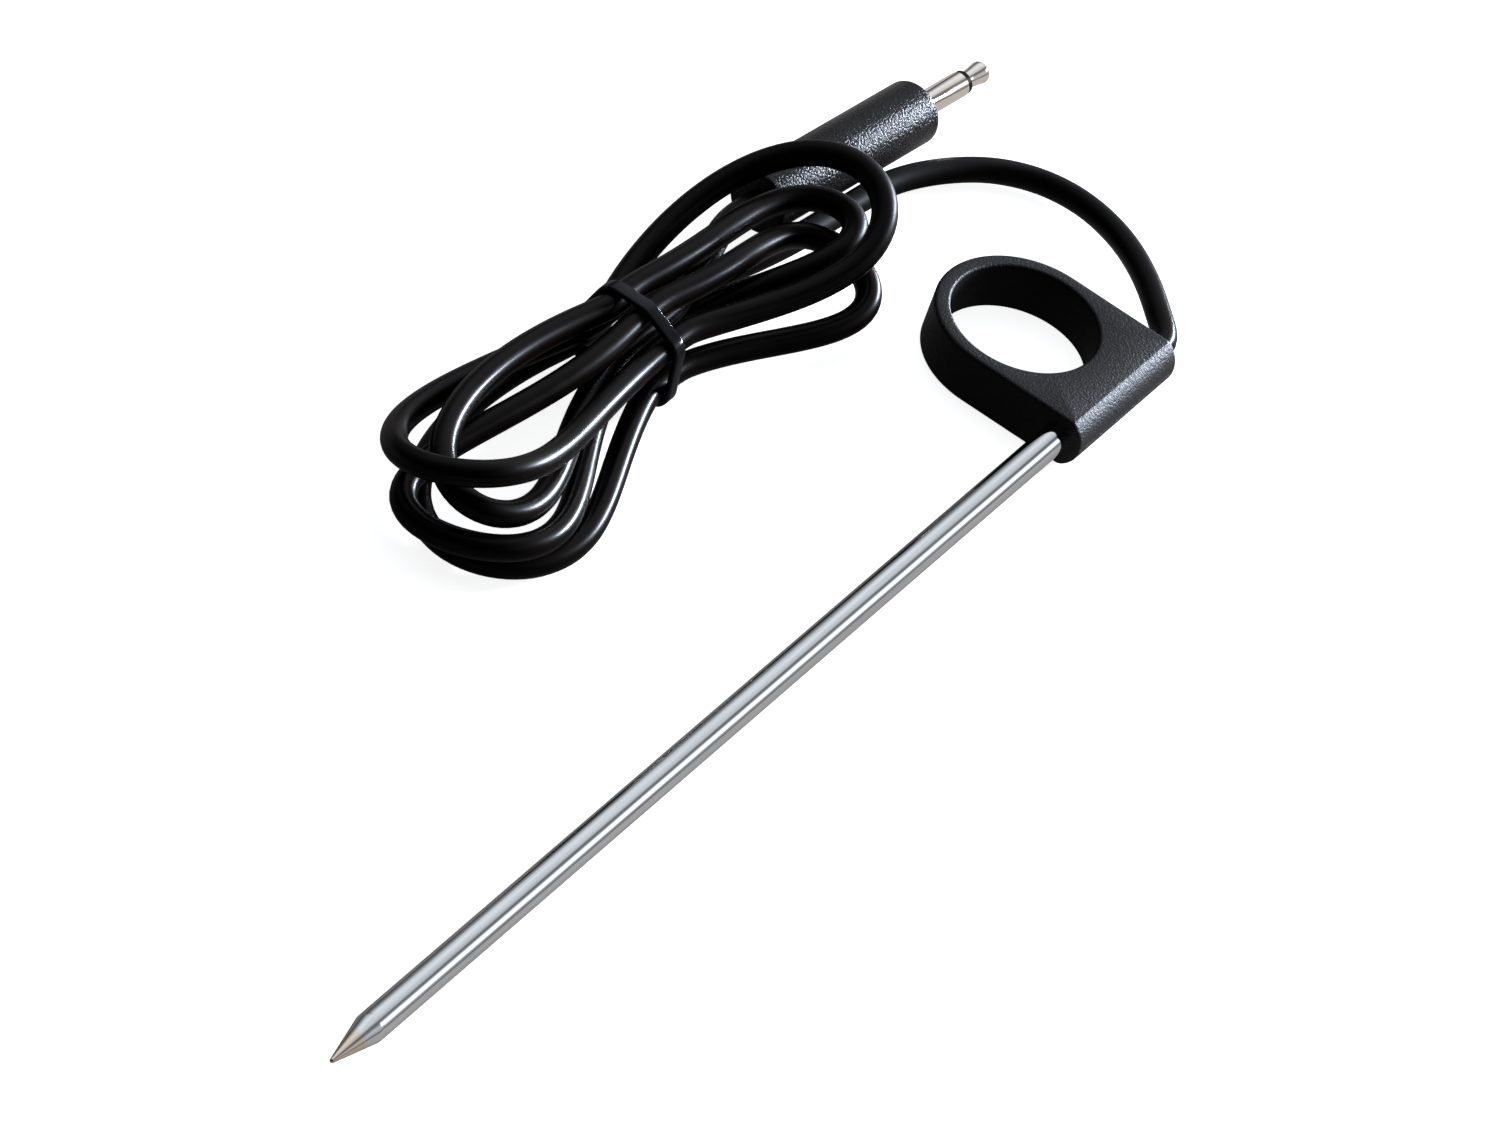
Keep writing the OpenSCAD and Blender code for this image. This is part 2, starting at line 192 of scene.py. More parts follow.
# drawn metal with fine lines; the rod's also has a warm tint at its point
def drawnMetal(name, look):
    mat, nodes, links, bsdf = newMaterial(name)
    lines = grainNoise(nodes, links, look["lineScale"], 3, look["lineStretch"])
    colour = setTone(nodes, links, bsdf, look, lines.outputs["Fac"])
    if "tintFrom" in look:
        axes = objectAxes(nodes, links)
        reach = addNode(nodes, "ShaderNodeMapRange",
                        {"From Min": look["tintFrom"], "From Max": look["tintTo"]})
        links.new(axes["X"], reach.inputs["Value"])
        mix = addNode(nodes, "ShaderNodeMix", data_type="RGBA")
        links.new(reach.outputs["Result"], mix.inputs["Factor"])
        mix.inputs[6].default_value = (*look["tint"], 1)
        links.new(colour, mix.inputs[7])
        links.new(mix.outputs[2], bsdf.inputs["Base Color"])
    bsdf.inputs["Metallic"].default_value = 1
    setRoughness(nodes, links, bsdf, look, lines.outputs["Fac"], toneStops)
    bumpFrom(nodes, links, bsdf, lines.outputs["Fac"], look["lineStrength"], look["lineHeight"])
    return mat


handleFinish = {
    "dark": (0.0032, 0.0022, 0.0018), "pale": (0.0068, 0.0050, 0.0042), "cloudScale": 160,
    "grainScale": 3000, "grainStrength": 0.65, "grainHeight": 0.00015,
    "roughLow": 0.38, "roughHigh": 0.54, "specular": 0.265,
}
plugFinish = {
    "dark": (0.0030, 0.0022, 0.0019), "pale": (0.0064, 0.0048, 0.0042), "cloudScale": 200,
    "grainScale": 3100, "grainStrength": 1.0, "grainHeight": 0.00015,
    "roughLow": 0.20, "roughHigh": 0.32, "specular": 0.23,
}
jacketFinish = {
    "dark": (0.0020, 0.0010, 0.0005), "pale": (0.0036, 0.0018, 0.0009), "cloudScale": 120,
    "fineScale": 900, "fineStrength": 0.02, "fineHeight": 0.00004,
    "roughLow": 0.23, "roughHigh": 0.31, "specular": 0.09,
    "dullFromX": 0.068, "dullToX": 0.078, "dullFromY": 0.004, "dullToY": 0.016, "dull": 0.22,
}
bandFinish = {
    "dark": (0.005, 0.005, 0.005), "pale": (0.010, 0.010, 0.010), "cloudScale": 260,
    "fineScale": 1400, "fineStrength": 0.1, "fineHeight": 0.00004,
    "roughLow": 0.08, "roughHigh": 0.14, "specular": 0.16,
}
steelFinish = {
    "dark": (0.745, 0.755, 0.74), "pale": (0.885, 0.895, 0.88), "lineScale": 2600,
    "lineStretch": (0.02, 1, 1), "roughLow": 0.04, "roughHigh": 0.08,
    "lineStrength": 0.12, "lineHeight": 0.00002,
    "tint": (0.86, 0.72, 0.57), "tintFrom": -0.0888, "tintTo": -0.0882,
}
nickelFinish = {
    "dark": (0.94, 0.85, 0.74), "pale": (1.0, 0.94, 0.83), "lineScale": 2200,
    "lineStretch": (1, 0.2, 1), "roughLow": 0.02, "roughHigh": 0.05,
    "lineStrength": 0.05, "lineHeight": 0.00002,
}
brassFinish = dict(nickelFinish, dark=(0.52, 0.38, 0.16), pale=(0.66, 0.50, 0.24))
plainVinyl = {k: v for k, v in jacketFinish.items() if not k.startswith("dull")}
innerFinish = dict(plainVinyl, dark=(0.60, 0.57, 0.49), pale=(0.72, 0.69, 0.61),
                   roughLow=0.4, roughHigh=0.55)
coreFinish = dict(innerFinish, dark=(0.36, 0.04, 0.03), pale=(0.48, 0.07, 0.05))
beadFinish = dict(plainVinyl, dark=(0.10, 0.25, 0.16), pale=(0.16, 0.34, 0.22))
ringFinish = dict(plainVinyl, roughLow=0.3, roughHigh=0.42)

handlePlastic = mouldedPlastic("handlePlastic", handleFinish)
plugPlastic = mouldedPlastic("plugPlastic", plugFinish)
cableJacket = jacketVinyl("cableJacket", jacketFinish)
bandStrip = jacketVinyl("bandStrip", bandFinish)
drawnSteel = drawnMetal("drawnSteel", steelFinish)
platedNickel = drawnMetal("platedNickel", nickelFinish)
tagBrass = drawnMetal("tagBrass", brassFinish)
innerIvory = jacketVinyl("innerIvory", innerFinish)
coreRed = jacketVinyl("coreRed", coreFinish)
beadGlass = jacketVinyl("beadGlass", beadFinish)
ringBlack = jacketVinyl("ringBlack", ringFinish)

print("stage: cable")

cable = {
    "diameter": 3.5,
    "waist": (38, 35),
    "waistHalf": 3.5,
    "ringsPerLoop": 64,
    "step": 1.1,
    "softPasses": 4,
    "stepsPerStretch": 6,
    "bevelSteps": 10,
    "swell": 1.3,
    "samePoint": 1e-6,
}

# places of the eight runs through the band: across, height
runs = {
    "farTop": (4, 10.8), "midTop": (0, 10.8), "nearTop": (-4.4, 8.7),
    "farMid": (5.5, 6.75), "centre": (0, 6.75),
    "farLow": (7, 2.7), "midLow": (0, 2.7), "nearLow": (-5, 2.7),
}

# first run, last run, side, reach, half width, shift of the end, height of the end, tilt, skew,
# fan at the first run, fan at the last run
hankLoops = [
    ("farMid", "nearTop", -1, 47.75, 5, -4, 16.25, -6, 1.75, 10.75, -1.75),
    ("nearTop", "farLow", 1, 35.5, -3, -7.25, 17.25, 0, -2.5, -12, 12),
    ("farLow", "nearLow", -1, 42.5, 3.5, -7.5, 2, 0.75, 4, 9.5, -11.25),
    ("nearLow", "midTop", 1, 31.25, -6.5, -7, 7, -2.25, -1.25, -7.25, -8.25),
    ("midTop", "midLow", -1, 47.5, 7.5, 0.5, 6.75, -0.75, 2, -5.75, -12),
    ("midLow", "farTop", 1, 34.25, -7.25, -5.75, 11, 3, -2.5, 2.75, -6.25),
    ("farTop", "centre", -1, 43.75, 1.75, -9, 10.75, 4.25, 4, 11.75, -4.5),
]

leadRoute = [
    (45, 40.5, 6.75), (46.2, 40.5, 6.75), (50.9, 39.8, 4.4), (56.6, 38.5, 2), (62.6, 36.8, 1.8),
    (68.5, 35.4, 1.8), (75.4, 34.2, 1.8), (82.5, 33.4, 1.8), (89.6, 32.7, 1.8), (95.2, 32, 1.8),
    (100.2, 30.3, 1.8), (105.3, 27.5, 1.8), (109.9, 23.6, 1.8), (113, 18.5, 1.8), (113.9, 13, 1.9),
    (112.8, 7.7, 2.2), (110.2, 2.4, 2.6), (106.2, -2.8, 3), (101.4, -7.5, 3.4), (97.2, -11.1, 3.7),
    (93.7, -11.1, 3.7),
]

plugPlace = {"rear": (74.6, 40.4, 4.5), "turn": -6.5}
plugTurn = math.radians(plugPlace["turn"])
plugAlong = Vector((math.cos(plugTurn), math.sin(plugTurn), 0))
plugRear = Vector(plugPlace["rear"])
tailRoute = [
    (45, 35, 6.75), (46.2, 35, 6.75), (50.4, 36, 7.1), (56.2, 37.3, 6.1), (62.2, 39.2, 5.5),
    (67, 40.5, 4.9), tuple(plugRear - cable["diameter"] * plugAlong), tuple(plugRear),
]


def loopPoint(loop, angle):
    first, last, side, reach, halfWidth, shift, endHeight, tilt, skew, fanFirst, fanLast = loop
    near = (1 - math.cos(angle)) / 2
    out = math.sin(angle) ** 2
    swell = cable["swell"] * math.sin(2 * angle) * math.sin(angle)
    runY = runs[first][0] + (runs[last][0] - runs[first][0]) * near
    runZ = runs[first][1] + (runs[last][1] - runs[first][1]) * near
    fan = fanFirst * (1 - near) ** 2 + fanLast * near ** 2
    return Vector((
        cable["waist"][0] + side * (cable["waistHalf"] + reach * math.sin(angle) + skew * swell),
        cable["waist"][1] + (1 - out) * runY + out * shift + halfWidth * swell + fan * math.sin(angle),
        (1 - out) * runZ + out * (endHeight + tilt * math.cos(angle)),
    ))


# a smooth line through the route's points
def smoothRoute(points, steps):
    p = [Vector(q) for q in points]
    p = [2 * p[0] - p[1], *p, 2 * p[-1] - p[-2]]
    line = []
    for a, b, c, d in zip(p, p[1:], p[2:], p[3:]):
        for i in range(steps):
            t = i / steps
            line.append(0.5 * (2 * b + (c - a) * t + (2 * a - 5 * b + 4 * c - d) * t ** 2
                               + (3 * b - a - 3 * c + d) * t ** 3))
    return line + [p[-2]]


# the same line with points at even steps, its corners softened
def softLine(points, step, passes):
    lengths = [0]
    for a, b in zip(points, points[1:]):
        lengths.append(lengths[-1] + (b - a).length)
    count = round(lengths[-1] / step)
    line, i = [], 0
    for k in range(count + 1):
        want = lengths[-1] * k / count
        while i < len(points) - 2 and lengths[i + 1] < want:
            i += 1
        line.append(points[i].lerp(points[i + 1], (want - lengths[i]) / (lengths[i + 1] - lengths[i])))
    for _ in range(passes):
        line = [line[0], *((a + 2 * b + c) / 4 for a, b, c in zip(line, line[1:], line[2:])), line[-1]]
    return line


def cableLine():
    lead = smoothRoute(leadRoute, cable["stepsPerStretch"])
    tail = smoothRoute(tailRoute, cable["stepsPerStretch"])
    hank = []
    last = cable["ringsPerLoop"] - 1
    for loop in hankLoops:
        hank += [loopPoint(loop, math.pi * i / last) for i in range(last + 1)]
    whole = lead[::-1] + hank + tail
    apart = [whole[0]] + [b for a, b in zip(whole, whole[1:]) if (b - a).length > cable["samePoint"]]
    return softLine(apart, cable["step"], cable["softPasses"])


def makeCable():
    line = [p * mm for p in cableLine()]
    curve = bpy.data.curves.new("cable", "CURVE")
    curve.dimensions = "3D"
    curve.bevel_depth = cable["diameter"] / 2 * mm
    curve.bevel_resolution = cable["bevelSteps"]
    curve.use_fill_caps = True
    curve.twist_mode = "MINIMUM"
    spline = curve.splines.new("POLY")
    spline.points.add(len(line) - 1)
    for point, place in zip(spline.points, line):
        point.co = (*place, 1)
    spline.use_smooth = True
    obj = bpy.data.objects.new("cable", curve)
    bpy.context.scene.collection.objects.link(obj)
    curve.materials.append(cableJacket)
    length = sum((b - a).length for a, b in zip(line, line[1:]))
    return obj, line[0], length


cableObject, cableExit, cableLength = makeCable()
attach(cableObject, "root")
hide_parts("cable_lead", "cable_hank", "cable_tail")
print("cable length", round(cableLength, 4))

print("stage: turned pieces")


def newMesh(name, bm, mat, sharp=32):
    mesh = bpy.data.meshes.new(name)
    bmesh.ops.recalc_face_normals(bm, faces=bm.faces)
    bm.to_mesh(mesh)
    bm.free()
    for f in mesh.polygons:
        f.use_smooth = True
    mesh.set_sharp_from_angle(angle=math.radians(sharp))
    mesh.materials.append(mat)
    obj = bpy.data.objects.new(name, mesh)
    bpy.context.scene.collection.objects.link(obj)
    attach(obj, "root")
    return obj


# profile is a closed list of (along, radius); a radius of nought is one point on the axis
def turned(name, profile, start, along, mat, segments=96):
    bm = bmesh.new()
    axis = Vector(along).normalized()
    side = Vector((0, 0, 1)).cross(axis).normalized()
    up = axis.cross(side)
    rings = []
    for s, r in profile:
        centre = (Vector(start) + axis * s) * mm
        if r <= 0:
            rings.append([bm.verts.new(centre)])
            continue
        rings.append([bm.verts.new(centre + mm * r * (math.cos(a) * side + math.sin(a) * up))
                      for a in (2 * math.pi * k / segments for k in range(segments))])
    for a, b in zip(rings, rings[1:]):
        for k in range(segments):
            m = (k + 1) % segments
            if len(a) == 1 and len(b) > 1:
                bm.faces.new((a[0], b[m], b[k]))
            elif len(b) == 1 and len(a) > 1:
                bm.faces.new((a[k], a[m], b[0]))
            elif len(a) > 1:
                bm.faces.new((a[k], a[m], b[m], b[k]))
    if len(rings[0]) > 1 and len(rings[-1]) > 1:
        for k in range(segments):
            m = (k + 1) % segments
            bm.faces.new((rings[-1][k], rings[-1][m], rings[0][m], rings[0][k]))
    return newMesh(name, bm, mat)


def arc(centreS, centreR, radius, fromDeg, toDeg, steps=6):
    angles = [math.radians(fromDeg + (toDeg - fromDeg) * i / steps) for i in range(steps + 1)]
    return [(centreS + radius * math.cos(a), centreR + radius * math.sin(a)) for a in angles]


rod = {"tip": (-93.7, -11.1, 3.7), "radius": 2.0, "pointLength": 8.4, "pointEnd": 0.34,
       "coneBack": 0.5, "bluntSteps": 5, "shoulder": 3.0, "shoulderSteps": 8,
       "spigot": 4.0, "spigotPlay": 0.06, "boreRadius": 1.75, "length": 175, "lip": 0.06,
       "neckAt": 163, "neckRadius": 1.7, "neckWall": 0.25,
       "jointEdge": 0.05, "jointGap": 0.01, "pointDip": 0.005, "tubeDip": 0.006}


def makeRod():
    radius, neck, bore = rod["radius"], rod["neckRadius"], rod["boreRadius"]
    coneEnd = rod["pointLength"] - rod["coneBack"]
    slope = math.atan2(radius - rod["pointEnd"], coneEnd)
    blunt = arc(rod["pointEnd"], 0, rod["pointEnd"], 180, 90 + math.degrees(slope), rod["bluntSteps"])
    bulge = rod["shoulder"]
    bend = bulge * math.tan(slope / 2)
    startS = coneEnd - bend * math.cos(slope)
    last = rod["shoulderSteps"]
    bends = [slope * (1 - i / last) for i in range(last + 1)]
    shoulder = [(coneEnd + bend - bulge * math.sin(a), radius - bulge * (1 - math.cos(a))) for a in bends]
    point = [(s, max(r, 0)) for s, r in blunt if s < startS] + shoulder
    join, gap = rod["pointLength"], rod["jointGap"]
    spigotRadius = bore - rod["spigotPlay"]
    point += [(join - rod["jointEdge"], radius), (join - gap, radius - rod["pointDip"]),
              (join, spigotRadius), (join + rod["spigot"], spigotRadius), (join + rod["spigot"], 0)]
    pointObject = turned("probePoint", point, rod["tip"], (1, 0, 0), drawnSteel)
    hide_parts("probe_point")
    lip, wall, neckAt = rod["lip"], rod["neckWall"], rod["neckAt"]
    tube = [(join + gap, radius - rod["tubeDip"]), (join + lip, radius),
            (neckAt - lip, radius), (neckAt, radius - lip), (neckAt, neck), (rod["length"], neck),
            (rod["length"], neck - wall), (neckAt - wall, neck - wall),
            (neckAt - wall, bore), (join + gap, bore)]
    tubeObject = turned("probeTube", tube, rod["tip"], (1, 0, 0), drawnSteel)
    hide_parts("probe_tube")


makeRod()

plug = {"radius": 4.5, "length": 33.5, "frontRound": 1.0, "frontSteps": 8, "rearRound": 0.5,
        "cableRadius": 1.8, "innerAt": 8, "innerRadius": 3.45}
# the tip's shape is by share of its length: rise over the neck, then drop from the end
jack = {"radius": 1.75, "shankEnd": 43.2, "shankRear": 24.5, "linerRadius": 1.1, "pinRadius": 0.6,
        "flangeRadius": 2.75, "flangeWidth": 1.4, "insulatorWidth": 0.7, "insulatorRadius": 1.65,
        "flangeEdge": 0.1, "mouthRise": 0.01, "mouthRun": 0.02, "endChamfer": 0.12, "play": 0.05,
        "ringGap": 0.01, "tipLength": 4.1, "neckRadius": 1.2, "endRadius": 1.55, "pinRear": 22.3,
        "neckRises": [(0.15, 0), (0.30, 0.04), (0.50, 0.14), (0.70, 0.26)],
        "endDrops": [(0.86, 0), (0.92, 0.02), (0.96, 0.10), (0.985, 0.28), (1, 0.6)]}


def makePlug():
    r, length = plug["radius"], plug["length"]
    body = [(0, plug["cableRadius"])]
    body += arc(plug["rearRound"], r - plug["rearRound"], plug["rearRound"], 180, 90)
    body += arc(length - plug["frontRound"], r - plug["frontRound"], plug["frontRound"], 90, 0,
                plug["frontSteps"])
    body += [(length, plug["innerRadius"]), (plug["innerAt"], plug["innerRadius"]),
             (plug["innerAt"], plug["cableRadius"])]
    bodyObject = turned("plugBody", body, plugRear, plugAlong, plugPlastic)
    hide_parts("plug_body")

    j = jack
    rear, end, out, liner = j["shankRear"], j["shankEnd"], j["radius"], j["linerRadius"]
    flange, flangeAt, chamfer = j["flangeRadius"], length - j["flangeWidth"], j["endChamfer"]
    shank = [(rear, liner), (rear, out), (flangeAt, out), (flangeAt, flange),
             (length - j["flangeEdge"], flange), (length, flange - j["flangeEdge"]),
             (length, out + j["mouthRise"]), (length + j["mouthRun"], out),
             (end - chamfer, out), (end, out - chamfer), (end, liner)]
    shankObject = turned("jackShank", shank, plugRear, plugAlong, platedNickel)
    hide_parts("jack_shank")

    tipAt = end + j["insulatorWidth"]
    pin, gap = j["pinRadius"], j["ringGap"]
    inner, outer = pin + j["play"], liner - j["play"]
    ring = [(rear, inner), (rear, outer), (end + gap, outer), (end + gap, j["insulatorRadius"]),
            (tipAt - gap, j["insulatorRadius"]), (tipAt - gap, inner)]
    ringObject = turned("jackInsulator", ring, plugRear, plugAlong, ringBlack)
    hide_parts("jack_insulator")

    n = j["tipLength"]
    tip = [(j["pinRear"], 0), (j["pinRear"], pin), (tipAt, pin), (tipAt, j["neckRadius"])]
    tip += [(tipAt + share * n, j["neckRadius"] + rise) for share, rise in j["neckRises"]]
    tip += [(tipAt + share * n, j["endRadius"] - drop) for share, drop in j["endDrops"]]
    tip.append((tipAt + n, 0))
    tipObject = turned("jackTip", tip, plugRear, plugAlong, platedNickel)
    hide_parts("jack_tip")
    return [bodyObject, shankObject, ringObject, tipObject]


plugPieces = makePlug()

print("stage: handle")

handle = {"front": 69.3, "back": 93.7, "rodY": -11.1, "ringY": 2.6, "holeRadius": 10,
          "thickness": 7.4, "edgeRound": 0.55, "holeRound": 0.45, "cornerRound": 0.5,
          "jointChamfer": 0.02, "sideRadius": 4.2, "sideEdge": 0.1, "edgeShare": 0.3, "holeSteps": 6,
          "steps": 384, "levels": 26, "cornerRays": 12, "cornerSpan": 3.9, "flatRay": 1e-9}


# distance from the ring's middle to the outline along one ray, for a height above mid-height
def outlineReach(angle, inset, barY):
    half = (handle["back"] - handle["front"]) / 2 - inset
    c, s = math.cos(angle), math.sin(angle)
    if s >= 0:
        return half
    low = handle["ringY"] - barY
    corner = handle["cornerRound"]
    reach = min(half / max(abs(c), handle["flatRay"]), low / -s)
    x, y = abs(c) * reach, -s * reach
    if x > half - corner and y > low - corner:
        ax, ay = half - corner, low - corner
        b = abs(c) * ax - s * ay
        reach = b + math.sqrt(max(b * b - (ax * ax + ay * ay - corner * corner), 0))
    return reach


def handleAngles():
    half = (handle["back"] - handle["front"]) / 2
    low = handle["ringY"] - handle["rodY"] + handle["thickness"] / 2
    n = handle["steps"]
    angles = [2 * math.pi * k / n for k in range(n)]
    rays = handle["cornerRays"]
    for side in (1, -1):
        for i in range(-rays, rays + 1):
            away = math.atan2(-low + (i / rays) * handle["cornerSpan"], side * half)
            angles.append(away % (2 * math.pi))
    return sorted(set(round(a, 6) for a in angles))


# half of the handle, as rings of points from the joint up the outside and down the hole
def makeShell(name, node, upwards):
    t = handle["thickness"] / 2
    angles = handleAngles()
    loops = []
    side, levels, lip = handle["sideRadius"], handle["levels"], handle["sideEdge"]
    sideY = handle["rodY"] - t + side
    last = math.asin((t - lip) / side)
    share = handle["edgeShare"]
    rises = [side * math.sin(last * k / levels) for k in range(levels + 1)]
    edge = handle["edgeRound"]
    for k, rise in enumerate(rises + [t - share * lip, t]):
        barY = sideY - math.sqrt(side ** 2 - min(rise, t - lip) ** 2)
        barY += (0, share * lip, lip)[max(k - levels, 0)]
        fromTop = rise - (t - edge)
        inset = 0 if fromTop <= 0 else edge - math.sqrt(max(edge ** 2 - fromTop ** 2, 0))
        if k == 0:
            chamfer = handle["jointChamfer"]
            loops.append((0, [outlineReach(a, chamfer, barY + chamfer) for a in angles]))
            rise = chamfer
        loops.append((rise, [outlineReach(a, inset, barY) for a in angles]))
    hole, holeRound = handle["holeRadius"], handle["holeRound"]
    for i in range(handle["holeSteps"] + 1):
        a = math.radians(90 * i / handle["holeSteps"])
        reach = hole + holeRound - holeRound * math.sin(a)
        loops.append((t - holeRound + holeRound * math.cos(a), [reach] * len(angles)))
    loops.append((handle["jointChamfer"], [hole] * len(angles)))
    loops.append((0, [hole + handle["jointChamfer"]] * len(angles)))
    bm = bmesh.new()
    middleX, middleY = (handle["front"] + handle["back"]) / 2, handle["ringY"]
    rings = []
    for rise, reaches in loops:
        z = t + rise * (1 if upwards else -1)
        spots = [(middleX + r * math.cos(a), middleY + r * math.sin(a)) for a, r in zip(angles, reaches)]
        rings.append([bm.verts.new((mm * x, mm * y, mm * z)) for x, y in spots])
    count = len(angles)
    for a, b in zip(rings, rings[1:] + rings[:1]):
        for k in range(count):
            m = (k + 1) % count
            bm.faces.new((a[k], a[m], b[m], b[k]))
    obj = newMesh(name, bm, handlePlastic)
    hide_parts(node)


makeShell("handleUpper", "handle_upper", True)
makeShell("handleLower", "handle_lower", False)

print("stage: band")

band = {"middle": 36.4, "width": 2.2, "thickness": 0.8, "gap": 0.05, "edge": 0.3,
        "rings": 200, "cornerSteps": 4}


def convexOutline(points):
    points = sorted(set(points))

    def half(seq):
        out = []
        for p in seq:
            while len(out) > 1 and ((out[-1][0] - out[-2][0]) * (p[1] - out[-2][1])
                                    - (out[-1][1] - out[-2][1]) * (p[0] - out[-2][0])) <= 0:
                out.pop()
            out.append(p)
        return out[:-1]
    return half(points) + half(points[::-1])


def waistOutline(grow, steps=96):
    r = cable["diameter"] / 2 + grow
    dots = []
    for y, z in runs.values():
        dots += [(round(y + r * math.cos(2 * math.pi * k / steps), 5),
                  round(z + r * math.sin(2 * math.pi * k / steps), 5)) for k in range(steps)]
    return convexOutline(dots)


def evenOutline(points, count):
    closed = points + points[:1]
    lengths = [0]
    for a, b in zip(closed, closed[1:]):
        lengths.append(lengths[-1] + math.hypot(b[0] - a[0], b[1] - a[1]))
    out, i = [], 0
    for k in range(count):
        want = lengths[-1] * k / count
        while lengths[i + 1] < want:
            i += 1
        f = (want - lengths[i]) / (lengths[i + 1] - lengths[i])
        out.append(tuple(closed[i][j] + f * (closed[i + 1][j] - closed[i][j]) for j in (0, 1)))
    return out


def makeBand():
    b = band
    count, corner = b["rings"], b["cornerSteps"]
    path = evenOutline(waistOutline(b["gap"] + b["thickness"] / 2), count)
    e, w, h = b["edge"], b["width"] / 2, b["thickness"] / 2
    section = []
    for cx, ch, start in (
        (w - e, h - e, 0), (-w + e, h - e, 90), (-w + e, -h + e, 180), (w - e, -h + e, 270),
    ):
        section += arc(cx, ch, e, start, start + 90, corner)
    bm = bmesh.new()
    rings = []
    for k in range(count):
        p, before, after = path[k], path[k - 1], path[(k + 1) % count]
        ty, tz = after[0] - before[0], after[1] - before[1]
        n = math.hypot(ty, tz)
        outY, outZ = tz / n, -ty / n
        y, z = cable["waist"][1] + p[0], p[1]
        rings.append([bm.verts.new((mm * (b["middle"] + x), mm * (y + outY * o), mm * (z + outZ * o)))
                      for x, o in section])
    for a, c in zip(rings, rings[1:] + rings[:1]):
        for i in range(len(section)):
            m = (i + 1) % len(section)
            bm.faces.new((a[i], a[m], c[m], c[i]))
    obj = newMesh("hankBand", bm, bandStrip)
    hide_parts("hank_band")
    return obj


bandObject = makeBand()

print("stage: inner pieces")

innerLooks = {
    "heat_paste": innerIvory, "thermistor_bead": beadGlass, "bead_wires": platedNickel,
    "wire_sleeves": innerIvory, "splice_crimps": tagBrass, "splice_sleeves": ringBlack,
    "probe_cores": coreRed, "tube_seal": innerIvory, "tube_collar": platedNickel,
    "cable_crimp": platedNickel, "handle_cable_end": cableJacket, "plug_inner_shell": innerIvory,
    "plug_cable_end": cableJacket, "rear_insulator": innerIvory, "tip_tag": tagBrass,
    "shank_tag": tagBrass, "plug_cores": coreRed, "solder_joints": platedNickel,
}
for nodeName, look in innerLooks.items():
    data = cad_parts[nodeName].data
    data.materials.clear()
    data.materials.append(look)

print("stage: floor and light")

# the near side of the table and the part beside the plug are bright in reflections
studio = {
    "floorSize": 6.0, "floorDrop": 0.0002, "floorRough": 0.9,
    "floorColour": (0.9, 0.9, 0.9), "floorBounce": (0.18, 0.155, 0.14), "floorGlow": 0.88,
    "floorSheen": 0.26, "sheenFrom": -0.004, "sheenTo": -0.022,
    "plugSheen": 0.34, "plugFrom": 0.098, "plugTo": 0.112, "darkSide": 0.05, "skyLevel": 2.0,
}

# bands: degrees from straight up, towards +Y, and level; along: X part of the direction, and share
skyLight = {
    "tint": (0.91, 0.965, 1.06),
    "bands": [(-100, 0.10), (-92, 0.08), (-82, 0.10), (-73, 0.24), (-52, 0.28), (-43, 0.15), (-36, 0.09),
              (-24, 0.08), (-16, 0.25), (-4, 0.35), (24, 0.45), (45, 0.36), (62, 0.13), (80, 0.04),
              (92, 0.02)],
    "along": [(-0.45, 0.05), (-0.2, 0.3), (0.05, 0.75), (0.3, 1.0)],
}
# a narrow strong strip low on the near side, beyond the handle's end
stripLight = {
    "tint": (0.86, 0.95, 1.12),
    "bands": [(-65.0, 0.0), (-61.5, 200.0), (-56.5, 200.0), (-54.0, 0.0)],
    "along": [(0.765, 0.0), (0.88, 1.0)],
}
# the paler band that the rod mirrors
lineLight = {
    "tint": skyLight["tint"],
    "bands": [(-69.0, 0.0), (-65.0, 0.54), (-47.0, 0.56), (-38.0, 0.10), (-30.0, 0.0)],
    "along": [(0.535, 0.0), (0.555, 1.0), (0.760, 1.0), (0.800, 0.0)],
}


def whiteForCamera(nodes, links):
    rays = addNode(nodes, "ShaderNodeLightPath").outputs
    seen = combine(nodes, links, "MAXIMUM", rays["Is Camera Ray"], rays["Is Transmission Ray"])
    return rays, seen


def smoothReach(nodes, links, source, fromMin, fromMax, toMin, toMax):
    n = addNode(nodes, "ShaderNodeMapRange",
                {"From Min": fromMin, "From Max": fromMax, "To Min": toMin, "To Max": toMax},
                interpolation_type="SMOOTHSTEP")
    links.new(source, n.inputs["Value"])
    return n.outputs["Result"]


